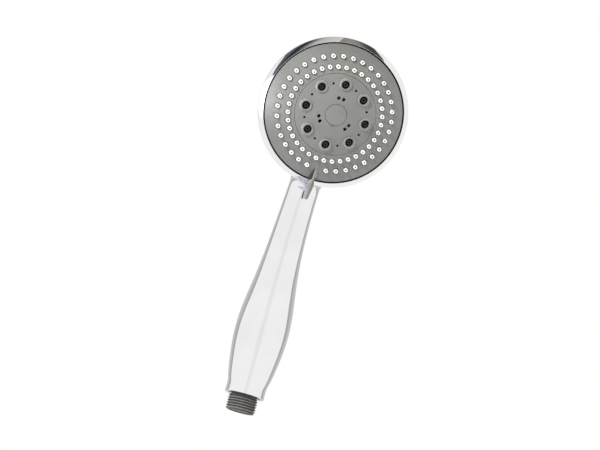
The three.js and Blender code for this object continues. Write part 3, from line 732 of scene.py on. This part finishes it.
def waterway_tube():
    """Thread, flange with its O-ring groove, and the bent tube up to the spigot in the head."""
    segments = 144
    shape = Shape()
    angle = angles(segments)

    def level(radius, z):
        across = np.column_stack([np.cos(angle), np.sin(angle)])
        return shape.ring(across * np.broadcast_to(radius, segments)[:, None], z)

    rows = [level(TUBE_BORE_R, INLET_DEPTH), level(INLET_R, INLET_DEPTH)]
    rows += [level(INLET_R, 0.35), level(INLET_R + 0.3, 0)]
    rows += [level(thread_radius(angle, 0) - 0.25, 0)]
    rows += [level(thread_radius(angle, z), z) for z in np.arange(0.2, THREAD_LENGTH, 0.11)]
    flange_z = SHELL_Z + GAP
    collar = rounded([
        (THREAD_MINOR_R - 0.1, THREAD_LENGTH + 0.1, 0), (THREAD_MINOR_R - 0.1, flange_z, 0.3),
        (FLANGE_R, flange_z, 0.3), (FLANGE_R, GROOVE_BOTTOM, 0.1),
        (GROOVE_R, GROOVE_BOTTOM, 0.1), (GROOVE_R, GROOVE_TOP, 0.1),
        (FLANGE_R, GROOVE_TOP, 0.1), (FLANGE_R, FLANGE_TOP, 0.3), (TUBE_R, FLANGE_TOP, 0)])
    rows += [level(r, z) for r, z in collar]
    start, knee, end = (
        CENTER + AXES @ np.array([0, y, SOCKET_Z])
        for y in (TUBE_TURNED_Y, SPIGOT_Y, SPIGOT_END_Y))
    bent = [(0, float(neck_offset(z)), z) for z in (95, 115, 135, 150, 160)]
    line = smooth_line([(0, 0, FLANGE_TOP), (0, 0, 60), *bent, start, knee, end], 120)
    walk = np.linalg.norm(line - knee, axis=1) * np.sign((line - knee) @ (end - knee))
    rows += tube_rows(shape, line, np.where(walk < 0, TUBE_R, SPIGOT_R), segments)[1:]
    rows += tube_rows(shape, line, np.full(len(line), TUBE_BORE_R - 0.3), segments)[::-1]
    shape.skin(rows + rows[:1])
    return shape.mesh("threaded_waterway", HANDLE, 40)


def inlet_filter():
    """Woven screen in a flat rim."""
    shape = Shape()
    wire, pitch, reach, middle = 0.14, 0.62, INLET_R - 1.0, 1.1
    for direction in (0, 1):
        for i in range(-10, 11):
            offset = i * pitch
            half = math.sqrt(max(reach ** 2 - offset ** 2, 0))
            if half < 1:
                continue
            along = np.linspace(-half, half, max(int(half * 2 / pitch * 6), 6))
            phase = math.pi * (i + direction)
            height = middle + wire * 1.05 * np.cos(math.pi * along / pitch + phase)
            points = np.column_stack([along, np.full(len(along), offset), height])
            if direction:
                points = points[:, [1, 0, 2]]
            side = np.eye(3)[1 - direction]
            rows = tube_rows(shape, points, np.full(len(points), wire), 6, side)
            shape.skin(rows)
            shape.caps(rows)
    low, high, inside, outside = 0.6, 1.7, INLET_R - 1.3, INLET_R - 0.3
    rim = rounded([
        (INLET_R - 0.9, low, 0.2), (outside, low, 0.2), (outside, high, 0.2),
        (inside, high, 0.2), (inside, low, 0.2), (INLET_R - 0.9, low, 0.2)])
    rows = [shape.ring(circle(r, 64), z) for r, z in rim]
    shape.skin(rows + rows[:1])
    return shape.mesh("inlet_screen", HANDLE, 40)


# ---------- materials ----------

def srgb(*values):
    """A linear colour with alpha, from red, green and blue up to 255."""
    shares = [v / 255 for v in values]
    return (*[v / 12.92 if v <= 0.04045 else ((v + 0.055) / 1.055) ** 2.4 for v in shares], 1)


class Surface:
    """A node material built from noises over the object's own coordinates."""

    def __init__(self, name):
        self.material = bpy.data.materials.new(name)
        self.material.use_nodes = True
        self.nodes = self.material.node_tree.nodes
        self.links = self.material.node_tree.links
        self.shader = self.nodes["Principled BSDF"]
        self.place = self.nodes.new("ShaderNodeTexCoord").outputs["Object"]

    def set(self, **values):
        for key, value in values.items():
            self.shader.inputs[key.replace("_", " ")].default_value = value
        return self

    def noise(self, scale, detail=3, roughness=0.55, stretch=None, distortion=0):
        node = self.nodes.new("ShaderNodeTexNoise")
        node.inputs["Scale"].default_value = scale
        node.inputs["Detail"].default_value = detail
        node.inputs["Roughness"].default_value = roughness
        node.inputs["Distortion"].default_value = distortion
        place = self.place
        if stretch:
            mapping = self.nodes.new("ShaderNodeMapping")
            mapping.inputs["Scale"].default_value = stretch
            self.links.new(place, mapping.inputs["Vector"])
            place = mapping.outputs["Vector"]
        self.links.new(place, node.inputs["Vector"])
        return node.outputs["Fac"]

    def spots(self, scale, randomness=1):
        node = self.nodes.new("ShaderNodeTexVoronoi")
        node.inputs["Scale"].default_value = scale
        node.inputs["Randomness"].default_value = randomness
        self.links.new(self.place, node.inputs["Vector"])
        return node.outputs["Distance"]

    def ramp(self, value, low, high, out_low=0.0, out_high=1.0):
        node = self.nodes.new("ShaderNodeMapRange")
        node.interpolation_type = "SMOOTHSTEP"
        limits = {"From Min": low, "From Max": high, "To Min": out_low, "To Max": out_high}
        for key, number in limits.items():
            node.inputs[key].default_value = number
        self.links.new(value, node.inputs["Value"])
        return node.outputs["Result"]

    def sum(self, first, second, operation="ADD"):
        node = self.nodes.new("ShaderNodeMath")
        node.operation = operation
        for socket, value in zip(node.inputs, (first, second)):
            if isinstance(value, (int, float)):
                socket.default_value = value
            else:
                self.links.new(value, socket)
        return node.outputs["Value"]

    def axes(self):
        node = self.nodes.new("ShaderNodeSeparateXYZ")
        self.links.new(self.place, node.inputs["Vector"])
        return node.outputs

    def turned_away(self, low, high, share=1.0):
        """0 where the surface faces the viewer, rising where it is seen at a slant."""
        node = self.nodes.new("ShaderNodeLayerWeight")
        node.inputs["Blend"].default_value = 0.5
        return self.ramp(node.outputs["Facing"], low, high, 0, share)

    def color(self, factor, first, second):
        node = self.nodes.new("ShaderNodeMix")
        node.data_type = "RGBA"
        self.links.new(factor, node.inputs["Factor"])
        for socket, value in ((node.inputs["A"], first), (node.inputs["B"], second)):
            if hasattr(value, "__len__"):
                socket.default_value = value
            else:
                self.links.new(value, socket)
        return node.outputs["Result"]

    def base(self, color):
        self.links.new(color, self.shader.inputs["Base Color"])
        return self

    def rough(self, value):
        self.links.new(value, self.shader.inputs["Roughness"])
        return self

    def bump(self, height, distance, strength=1.0):
        node = self.nodes.new("ShaderNodeBump")
        node.inputs["Distance"].default_value = distance
        node.inputs["Strength"].default_value = strength
        self.links.new(height, node.inputs["Height"])
        self.links.new(node.outputs["Normal"], self.shader.inputs["Normal"])
        return self


def chrome():
    s = Surface("chrome_plate").set(Metallic=1.0)
    cloud = s.ramp(s.noise(38, 4), 0.35, 0.7)
    s.base(s.color(cloud, (0.81, 0.81, 0.815, 1), (0.77, 0.77, 0.78, 1)))
    smear = s.ramp(s.noise(55, 5, 0.6, (1, 1, 0.35), 0.6), 0.45, 0.75, 0.035, 0.085)
    drops = s.ramp(s.spots(420), 0.03, 0.06, 0.05, 0.0)
    s.rough(s.sum(smear, drops))
    return s.bump(s.noise(160, 2), 0.00001, 0.25).material


def satin_grey_painted_sheen(name, shade=None):
    """Satin silver-grey paint, lightened by a painted sheen where it is seen at a slant; `shade`
    gives a share of darkening as painted shade.
    """
    s = Surface(name).set(Metallic=0.4)
    fleck = s.noise(2600, 2, 0.7)
    cloud = s.noise(45, 2)
    tint = s.color(s.ramp(cloud, 0.3, 0.7), srgb(131, 131, 127), srgb(122, 122, 118))
    grey = s.color(s.ramp(fleck, 0.35, 0.65, 0, 0.3), tint, srgb(146, 148, 145))
    # painted sheen: lighter grey where the surface is seen at a slant, standing in for reflected
    # light
    grey = s.color(s.turned_away(0.14, 0.6, 0.8), grey, srgb(190, 191, 189))
    # painted shade: where the shade mask is given, the grey darkens towards this dark grey
    s.base(s.color(shade(s), grey, srgb(52, 53, 51)) if shade else grey)
    s.rough(s.ramp(s.noise(300, 4), 0.3, 0.7, 0.36, 0.46))
    return s.bump(s.noise(1800, 3, 0.6), 0.00002, 0.4).material


def painted_fin_shade(s):
    """Painted shade: dark on the fin's left flank over the disc, and on its right facet beyond the
    rim.
    """
    x, _, z = s.axes()
    on_disc = s.ramp(z, 0.1631, 0.1642)  # the heights between which the fin crosses the rim
    left = s.sum(s.ramp(x, -0.0002, -0.0007), s.ramp(x, -0.0048, -0.0012), "MULTIPLY")
    right = s.ramp(x, 0.0001, 0.0006, 0, 0.42)
    beyond = s.sum(right, s.sum(1, on_disc, "SUBTRACT"), "MULTIPLY")
    return s.sum(s.sum(left, on_disc, "MULTIPLY"), beyond)


def silicone():
    s = Surface("white_silicone").set(Subsurface_Weight=0.25, Subsurface_Scale=0.002, IOR=1.41)
    s.shader.inputs["Subsurface Radius"].default_value = (1.0, 0.95, 0.85)
    s.base(s.color(s.ramp(s.noise(120, 3), 0.3, 0.7), srgb(232, 232, 229), srgb(220, 220, 215)))
    s.rough(s.ramp(s.noise(500, 3), 0.3, 0.7, 0.38, 0.55))
    return s.bump(s.noise(2500, 2), 0.00002, 0.4).material


def thread_plastic():
    """Grey plastic, with painted shade that darkens the thread's roots and fades out towards its
    crests.
    """
    s = Surface("thread_plastic").set(IOR=1.5)
    x, y, _ = s.axes()
    radius = s.sum(s.sum(s.sum(x, 2, "POWER"), s.sum(y, 2, "POWER")), 0.5, "POWER")
    # painted shade: the colour gets darker from the crests down into the thread's roots
    painted_root_shade = s.ramp(radius, THREAD_MINOR_R * MM, THREAD_MAJOR_R * MM)
    cloud = s.color(s.ramp(s.noise(160, 3), 0.35, 0.68), srgb(124, 122, 117), srgb(108, 106, 101))
    s.base(s.color(painted_root_shade, srgb(62, 61, 58), cloud))
    s.rough(s.ramp(s.noise(700, 4), 0.3, 0.7, 0.34, 0.5))
    return s.bump(s.noise(1400, 3, 0.6), 0.00001, 0.4).material


def moulded(name, first, second, rough=(0.4, 0.6), grain=1200):
    """Plain moulded plastic: two close shades in soft clouds, with a fine grain."""
    s = Surface(name).set(IOR=1.5)
    s.base(s.color(s.ramp(s.noise(90, 3), 0.3, 0.7), first, second))
    s.rough(s.ramp(s.noise(400, 3), 0.3, 0.7, *rough))
    return s.bump(s.noise(grain, 3), 0.00004, 0.5).material


def stainless():
    s = Surface("stainless").set(Metallic=1.0)
    cloud = s.ramp(s.noise(500, 3), 0.3, 0.7)
    s.base(s.color(cloud, (0.36, 0.36, 0.37, 1), (0.26, 0.26, 0.27, 1)))
    s.rough(s.ramp(s.noise(900, 4, 0.6, (1, 1, 6)), 0.3, 0.7, 0.28, 0.42))
    return s.bump(s.noise(1500, 3, 0.5, (1, 1, 8)), 0.00002, 0.4).material


MATERIALS = {
    "chrome_plate": chrome(),
    "grey_face": satin_grey_painted_sheen("satin_grey_painted_sheen"),
    "grey_thread": thread_plastic(),
    "white_silicone": silicone(),
    "black_plastic": moulded("black_plastic", srgb(34, 34, 36), srgb(24, 24, 26), (0.28, 0.42)),
    "black_rubber": moulded("black_rubber", srgb(38, 38, 38), srgb(26, 26, 27), (0.6, 0.8), 1800),
    "natural_plastic": moulded(
        "natural_plastic", srgb(222, 219, 208), srgb(208, 204, 191), (0.35, 0.5)),
    "green_plastic": moulded("green_plastic", srgb(76, 140, 88), srgb(62, 122, 76)),
    "stainless": stainless(),
}

# the lever's satin grey, with painted shade on the fin's flanks
LEVER_GREY_PAINTED_SHADE = satin_grey_painted_sheen("lever_grey_painted_shade", painted_fin_shade)

SLOTS = {row["node"]: row["material_slot"] for row in frame["record"]["subparts"]}
BODIES = frame["record"]["behaviour"]["bodies"]
BODY = {node: body for body, nodes in BODIES.items() for node in nodes}


def install(piece, node):
    """Puts a fine piece in place of a CAD node: on its body, with its slot's material."""
    piece.data.materials.clear()
    piece.data.materials.append(LEVER_GREY_PAINTED_SHADE if node == "selector_lever" else MATERIALS[SLOTS[node]])
    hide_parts(node)
    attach(piece, BODY[node])


for node, piece in {
    "body_shell": body_shell(),
    "waterway_tube": waterway_tube(),
    "inlet_filter": inlet_filter(),
    "face_plate": face_plate(),
    "nozzle_membrane": nozzle_membrane(),
    "center_plate": center_plate(),
    "jet_insert": jet_insert(),
    "center_cap": center_cap(),
    "selector_lever": selector_lever(),
}.items():
    install(piece, node)

for node, carried in frame["nodes"].items():
    carried.data.materials.clear()
    carried.data.materials.append(MATERIALS[SLOTS[node]])

# ---------- floor, light and camera ----------

FLOOR_Z = -0.16
FLOOR_REACH = 3.0
FLOOR_CELLS = 24


def floor():
    points = FLOOR_CELLS + 1
    steps = np.linspace(-FLOOR_REACH, FLOOR_REACH, points)
    corners = [(x, y, FLOOR_Z) for y in steps for x in steps]
    cells = range(FLOOR_CELLS)
    faces = [
        (i + j * points, i + 1 + j * points, i + 1 + (j + 1) * points, i + (j + 1) * points)
        for j in cells for i in cells]
    data = bpy.data.meshes.new("floor")
    data.from_pydata(corners, [], faces)
    made = added("floor", data)
    s = Surface("pale_floor")
    s.base(s.color(s.ramp(s.noise(3, 2), 0.3, 0.7), srgb(242, 242, 243), srgb(236, 236, 237)))
    s.rough(s.ramp(s.noise(20, 3), 0.3, 0.7, 0.55, 0.7))
    s.set(Emission_Color=srgb(242, 242, 243), Emission_Strength=0.45)
    data.materials.append(s.material)
    made.visible_glossy = False


def softbox(name, place, target, size, power):
    """Square soft light that shows in no reflection."""
    light = bpy.data.lights.new(name, "AREA")
    light.shape = "RECTANGLE"
    light.size = light.size_y = size
    light.energy = power
    made = added(name, light)
    made.location = place
    aim = Vector(target) - Vector(place)
    made.rotation_euler = aim.to_track_quat("-Z", "Y").to_euler()
    made.visible_glossy = False


CAMERA_PLACE = Vector((-0.16042, -1.02501, -0.11005))
CAMERA_FORWARD = Vector((0.15590, 0.95979, 0.23343))
CAMERA_RIGHT = Vector((0.94187, -0.21564, 0.25763))
SENSOR = 36
LENS = 90


def camera():
    data = bpy.data.cameras.new("camera")
    data.sensor_width = SENSOR
    data.lens = LENS
    made = added("camera", data)
    forward = CAMERA_FORWARD.normalized()
    right = (CAMERA_RIGHT - forward * CAMERA_RIGHT.dot(forward)).normalized()
    turned = Matrix((right, right.cross(forward), -forward)).transposed()
    made.matrix_world = Matrix.Translation(CAMERA_PLACE) @ turned.to_4x4()
    bpy.context.scene.camera = made


class Sky:
    """Tones by direction, for the world and for what only reflections see."""

    def __init__(self, tree, coordinate):
        self.tree = tree
        tree.nodes.clear()
        self.ray = self.node("ShaderNodeTexCoord").outputs[coordinate]

    def node(self, kind, **settings):
        made = self.tree.nodes.new(kind)
        for key, value in settings.items():
            setattr(made, key, value)
        return made

    def link(self, source, target):
        if isinstance(source, (int, float, tuple)):
            target.default_value = source
        else:
            self.tree.links.new(source, target)

    def ramp(self, value, low, high):
        made = self.node("ShaderNodeMapRange", interpolation_type="SMOOTHSTEP")
        self.link(value, made.inputs["Value"])
        made.inputs["From Min"].default_value = low
        made.inputs["From Max"].default_value = high
        return made.outputs["Result"]

    def math(self, operation, first, second=0.0):
        made = self.node("ShaderNodeMath", operation=operation)
        self.link(first, made.inputs[0])
        self.link(second, made.inputs[1])
        return made.outputs["Value"]

    def parts(self):
        made = self.node("ShaderNodeSeparateXYZ")
        unit = self.node("ShaderNodeVectorMath", operation="NORMALIZE")
        self.link(self.ray, unit.inputs[0])
        self.link(unit.outputs["Vector"], made.inputs["Vector"])
        return made.outputs

    def azimuth(self):
        """Degrees round the vertical: 0 towards -Y, where the camera stands, and 90 towards +X."""
        x, y, _ = self.parts()
        return self.degrees(self.math("ARCTAN2", x, self.math("MULTIPLY", y, -1.0)))

    def elevation(self):
        return self.degrees(self.math("ARCSINE", self.parts()[2]))

    def degrees(self, radians):
        return self.math("MULTIPLY", radians, 180 / math.pi)

    def blend(self, factor, first, second):
        made = self.node("ShaderNodeMix", data_type="RGBA")
        self.link(factor, made.inputs["Factor"])
        self.link(first, made.inputs[6])
        self.link(second, made.inputs[7])
        return made.outputs[2]

    def tones(self, value, low, high, stops):
        """Colour ramp over a value from low to high, through (value, grey, warmth) stops."""
        made = self.node("ShaderNodeValToRGB")
        scaled = self.node("ShaderNodeMapRange")
        self.link(value, scaled.inputs["Value"])
        scaled.inputs["From Min"].default_value = low
        scaled.inputs["From Max"].default_value = high
        self.link(scaled.outputs["Result"], made.inputs["Fac"])
        while len(made.color_ramp.elements) < len(stops):
            made.color_ramp.elements.new(0.5)
        for element, (place, grey, warmth) in zip(made.color_ramp.elements, stops):
            element.position = (place - low) / (high - low)
            element.color = srgb(grey + warmth, grey, grey - warmth)
        return made.outputs["Color"]


CHROME_REFLECTS = 0.8
DIFFUSE_SHARE = 0.4  # how much of the studio's brightness falls on matt surfaces


def world():
    """White studio with grey-lilac walls behind the object on both sides."""
    made = bpy.data.worlds.new("studio")
    bpy.context.scene.world = made
    made.use_nodes = True
    sky = Sky(made.node_tree, "Generated")
    turned, height = sky.azimuth(), sky.elevation()
    across = sky.math("ABSOLUTE", sky.math("ADD", turned, 9.0))
    side = sky.math("ADD", across, sky.math("MULTIPLY", height, 0.6))
    stops = [(110, 148, 0), (118, 154, 0), (127, 174, 0), (141, 190, 0), (190, 202, 0)]
    wall = sky.blend(0.15, sky.tones(side, 90, 190, stops), (0.48, 0.41, 0.50, 1))
    behind = sky.math("MULTIPLY", sky.ramp(side, 112, 117), sky.ramp(height, -34, -22))
    below = sky.math("MULTIPLY", sky.ramp(height, -36, -50), sky.ramp(across, 75, 60))
    tone = sky.blend(below, srgb(238, 238, 237), srgb(198, 196, 216))
    tone = sky.blend(behind, tone, wall)
    streak = sky.math("MULTIPLY", sky.ramp(turned, -22, -8), sky.ramp(turned, 8, -6))
    tone = sky.blend(sky.math("MULTIPLY", streak, 0.6), tone, srgb(219, 219, 218))
    rays = sky.node("ShaderNodeLightPath").outputs
    # the camera sees white, reflections see the tones, and matt surfaces get a share of them
    white = (CHROME_REFLECTS, CHROME_REFLECTS, CHROME_REFLECTS, 1)
    background = sky.node("ShaderNodeBackground")
    sky.link(sky.blend(rays["Is Camera Ray"], tone, white), background.inputs["Color"])
    held = (1 - DIFFUSE_SHARE) / CHROME_REFLECTS
    matt = sky.math("MULTIPLY", rays["Is Diffuse Ray"], held)
    strength = sky.math("SUBTRACT", 1 / CHROME_REFLECTS, matt)
    sky.link(strength, background.inputs["Strength"])
    output = sky.node("ShaderNodeOutputWorld")
    sky.link(background.outputs["Background"], output.inputs["Surface"])


def hidden_glow(made, color, strength):
    """Makes an object a light that only reflections show."""
    made.visible_camera = made.visible_diffuse = False
    made.visible_shadow = made.visible_transmission = False
    material = bpy.data.materials.new(made.name)
    material.use_nodes = True
    sky = Sky(material.node_tree, "Object")
    glow = sky.node("ShaderNodeEmission")
    sky.link(color(sky), glow.inputs["Color"])
    glow.inputs["Strength"].default_value = strength
    output = sky.node("ShaderNodeOutputMaterial")
    sky.link(glow.outputs["Emission"], output.inputs["Surface"])
    made.data.materials.append(material)


def dome_patch(name, reach, azimuths, columns, rows, lowest, highest):
    """Part of a sphere round the head's centre, between an azimuth range and two elevations."""
    left, right = azimuths
    points, faces = [], []
    for i in range(columns + 1):
        turned = left + (right - left) * i / columns
        bearing, low = math.radians(turned), lowest(turned)
        for j in range(rows + 1):
            height = math.radians(low + (highest - low) * j / rows)
            flat = reach * math.cos(height)
            across, back = flat * math.sin(bearing), -flat * math.cos(bearing)
            points.append((across, back, reach * math.sin(height)))
    for i in range(columns):
        for j in range(rows):
            first = i * (rows + 1) + j
            faces.append((first, first + rows + 1, first + rows + 2, first + 1))
    data = bpy.data.meshes.new(name)
    data.from_pydata(points, [], faces)
    made = added(name, data)
    made.location = turn["pos_m"]
    return made


def overhead_flag():
    """Studio ceiling close over the head: it gives the rim its dark tones."""
    left, corner, right = -94, -70.5, 47

    def lowest(turned):
        """High behind the corner, lowest beside it, and rising again towards the front."""
        return 27 if turned < corner else -2 + 30 * min(1, max(0, (turned + 62) / 16))

    flag = dome_patch("overhead_flag", 0.2, (left, right), 141, 24, lowest, 89)
    stops = [
        (-94, 90, -2), (-76, 70, -5), (-69, 96, -3), (-66, 100, -3), (-64, 86, -5),
        (-60, 56, -7), (-56, 38, -7), (-52, 62, -3), (-46, 132, 1), (-39, 176, 2),
        (-30, 190, 2), (-13, 201, 3), (-12, 128, 5), (1, 138, 5), (13, 126, 4), (24, 86, 4),
        (34, 56, 2), (44, 82, 4)]

    def tone(sky):
        low = sky.tones(sky.azimuth(), left, right, stops)
        return sky.blend(sky.ramp(sky.elevation(), 66, 78), low, srgb(150, 147, 144))

    hidden_glow(flag, tone, 1 / CHROME_REFLECTS)


def side_glow():
    """Bright panel low on the left, which gives the spray face its light edge."""
    left, right, low, high, strength = -96, -52, -30, 6, 5
    panel = dome_patch("side_glow", 0.12, (left, right), 12, 6, lambda turned: low, high)

    def tone(sky):
        turned, height = sky.azimuth(), sky.elevation()
        across = sky.math(
            "MULTIPLY", sky.ramp(turned, left, left + 10), sky.ramp(turned, right, right - 14))
        upright = sky.math(
            "MULTIPLY", sky.ramp(height, low, low + 12), sky.ramp(height, high, high - 12))
        edge = 1.07 / strength
        inside = sky.math("MULTIPLY", across, upright)
        return sky.blend(inside, (edge, edge, edge, 1), srgb(246, 250, 255))

    hidden_glow(panel, tone, strength)


floor()
camera()
world()
overhead_flag()
side_glow()
softbox("key", (-0.82, -0.95, 0.55), (0, -0.04, 0.2), 0.28, 18)
bpy.context.scene.view_settings.view_transform = "Standard"
